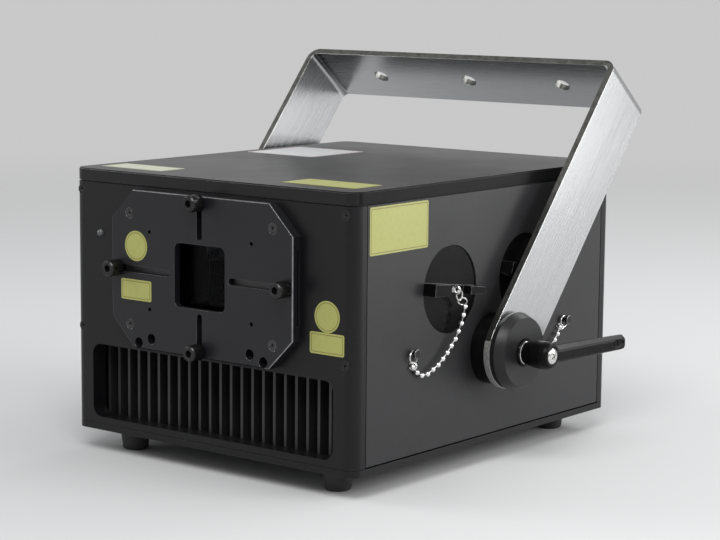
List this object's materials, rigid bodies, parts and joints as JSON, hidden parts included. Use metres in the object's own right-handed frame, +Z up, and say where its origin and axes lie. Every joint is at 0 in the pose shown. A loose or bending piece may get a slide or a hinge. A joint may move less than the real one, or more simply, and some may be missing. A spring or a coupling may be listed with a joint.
{
  "type": "laser show projector",
  "caption": "Flat black metal show laser with a leaning steel yoke, clamping levers, a front window masked by sliding blades, an air intake and tethered service caps.",
  "frame": {"origin": "on the resting plane of the feet, below the middle of the case", "axes": "+X towards the side with the service caps, -Y the way the beam leaves, +Z up"},
  "size_m": [0.3874, 0.3604, 0.2909],
  "materials": {
    "case_black": "black anodised, satin",
    "plate_black": "black anodised, satin, milled edges",
    "blade_grey": "dull grey sheet",
    "cap_black": "black anodised, turned and milled",
    "disc_black": "black anodised, turned",
    "yoke_steel": "brushed stainless",
    "bright_steel": "bright steel",
    "screw_black": "black oxide",
    "screw_grey": "plain steel",
    "lever_black": "fine textured black powder coat",
    "foot_rubber": "matt",
    "seal_rubber": "matt",
    "window_glass": "clear, coated",
    "lamp_lens": "frosted",
    "bare_aluminium": "plain",
    "scanner_black": "anodised",
    "mount_brass": "machined",
    "mirror_coat": "polished",
    "board_green": "circuit board",
    "fan_plastic": "moulded",
    "socket_plastic": "moulded",
    "sticker_yellow": "blank sticker"
  },
  "bodies": {
    "case": {"bottom_plate": "case_black", "front_plate": "case_black", "rear_plate": "case_black", "side_panel_right": "case_black", "side_panel_left": "case_black", "lid": "case_black", "aperture_plate": "plate_black", "blade_guide": "plate_black", "pivot_spacers": "disc_black", "cap_chains": "bright_steel", "chain_rings": "bright_steel", "foot_screws": "bright_steel", "key_barrel": "bright_steel", "lid_screws": "screw_black", "plate_screws": "screw_black", "chain_screws": "screw_black", "aperture_screws": "screw_grey", "feet": "foot_rubber", "lid_gasket": "seal_rubber", "window_gasket": "seal_rubber", "cap_seals": "seal_rubber", "window_glass": "window_glass", "indicator_lamp": "lamp_lens", "cooling_bench": "bare_aluminium", "side_rails": "bare_aluminium", "laser_modules": "bare_aluminium", "power_supply": "bare_aluminium", "scanner_block": "scanner_black", "scanner_motors": "scanner_black", "mirror_mounts": "mount_brass", "combining_mirrors": "mirror_coat", "driver_board": "board_green", "control_board": "board_green", "fan_frames": "fan_plastic", "power_sockets": "socket_plastic", "signal_sockets": "socket_plastic", "stickers": "sticker_yellow"},
    "yoke": {"yoke": "yoke_steel", "clamp_discs": "disc_black"},
    "stud_right": {"stud_right": "bright_steel", "handle_screw_right": "bright_steel"},
    "stud_left": {"stud_left": "bright_steel", "handle_screw_left": "bright_steel"},
    "handle_right": {"handle_right": "lever_black"},
    "handle_left": {"handle_left": "lever_black"},
    "blade_right": {"blade_right": "blade_grey"},
    "blade_left": {"blade_left": "blade_grey"},
    "blade_upper": {"blade_upper": "blade_grey"},
    "blade_lower": {"blade_lower": "blade_grey"},
    "thumbscrew_right": {"thumbscrew_right": "screw_black"},
    "thumbscrew_left": {"thumbscrew_left": "screw_black"},
    "thumbscrew_upper": {"thumbscrew_upper": "screw_black"},
    "thumbscrew_lower": {"thumbscrew_lower": "screw_black"},
    "service_cap_front": {"service_cap_front": "cap_black"},
    "service_cap_rear": {"service_cap_rear": "cap_black"},
    "fan_rotor_right": {"fan_rotor_right": "fan_plastic"},
    "fan_rotor_left": {"fan_rotor_left": "fan_plastic"},
    "scan_mirror_x": {"scan_mirror_x": "mirror_coat"},
    "scan_mirror_y": {"scan_mirror_y": "mirror_coat"},
    "key": {"key": "bright_steel"}
  },
  "joints": [
    {"name": "yoke_tilt", "type": "hinge", "parent": "case", "child": "yoke", "pos_m": [0, 0, 0.086], "axis": [1, 0, 0], "range_deg": [-50, 130]},
    {"name": "lever_turn_right", "type": "hinge", "parent": "case", "child": "stud_right", "pos_m": [0.15, 0, 0.086], "axis": [1, 0, 0], "range_deg": [0, 90]},
    {"name": "lever_turn_left", "type": "hinge", "parent": "case", "child": "stud_left", "pos_m": [-0.15, 0, 0.086], "axis": [1, 0, 0], "range_deg": [-60, 0]},
    {"name": "lever_lift_right", "type": "slide", "parent": "stud_right", "child": "handle_right", "axis": [1, 0, 0], "range_m": [0, 0.005], "stiffness_N_per_m": 900, "springref_m": -0.004},
    {"name": "lever_lift_left", "type": "slide", "parent": "stud_left", "child": "handle_left", "axis": [-1, 0, 0], "range_m": [0, 0.005], "stiffness_N_per_m": 900, "springref_m": -0.004},
    {"name": "blade_slide_right", "type": "slide", "parent": "case", "child": "blade_right", "axis": [-1, 0, 0], "range_m": [0, 0.0495]},
    {"name": "blade_slide_left", "type": "slide", "parent": "case", "child": "blade_left", "axis": [1, 0, 0], "range_m": [0, 0.0495]},
    {"name": "blade_slide_upper", "type": "slide", "parent": "case", "child": "blade_upper", "axis": [0, 0, -1], "range_m": [0, 0.0245]},
    {"name": "blade_slide_lower", "type": "slide", "parent": "case", "child": "blade_lower", "axis": [0, 0, 1], "range_m": [0, 0.0245]},
    {"name": "thumbscrew_turn_right", "type": "hinge", "parent": "blade_right", "child": "thumbscrew_right", "pos_m": [0.0795, -0.17, 0.143], "axis": [0, -1, 0], "range_deg": [0, 360]},
    {"name": "thumbscrew_turn_left", "type": "hinge", "parent": "blade_left", "child": "thumbscrew_left", "pos_m": [-0.0795, -0.17, 0.143], "axis": [0, -1, 0], "range_deg": [0, 360]},
    {"name": "thumbscrew_turn_upper", "type": "hinge", "parent": "blade_upper", "child": "thumbscrew_upper", "pos_m": [0, -0.17, 0.196], "axis": [0, -1, 0], "range_deg": [0, 360]},
    {"name": "thumbscrew_turn_lower", "type": "hinge", "parent": "blade_lower", "child": "thumbscrew_lower", "pos_m": [0, -0.17, 0.09], "axis": [0, -1, 0], "range_deg": [0, 360]},
    {"name": "cap_turn_front", "type": "hinge", "parent": "case", "child": "service_cap_front", "pos_m": [0.133, -0.0515, 0.135], "axis": [1, 0, 0], "range_deg": [0, 45]},
    {"name": "cap_turn_rear", "type": "hinge", "parent": "case", "child": "service_cap_rear", "pos_m": [0.133, 0.041, 0.135], "axis": [1, 0, 0], "range_deg": [0, 45]},
    {"name": "fan_spin_right", "type": "hinge", "parent": "case", "child": "fan_rotor_right", "pos_m": [0.062, 0.134, 0.053], "axis": [0, 1, 0], "continuous": true},
    {"name": "fan_spin_left", "type": "hinge", "parent": "case", "child": "fan_rotor_left", "pos_m": [-0.062, 0.134, 0.053], "axis": [0, 1, 0], "continuous": true},
    {"name": "scan_turn_x", "type": "hinge", "parent": "case", "child": "scan_mirror_x", "pos_m": [0, -0.091, 0.13], "axis": [0, 0, 1], "range_deg": [-12, 12]},
    {"name": "scan_turn_y", "type": "hinge", "parent": "case", "child": "scan_mirror_y", "pos_m": [0, -0.109, 0.143], "axis": [1, 0, 0], "range_deg": [-12, 12]},
    {"name": "key_turn", "type": "hinge", "parent": "case", "child": "key", "pos_m": [0.092, 0.16, 0.157], "axis": [0, -1, 0], "range_deg": [0, 90]}
  ]
}
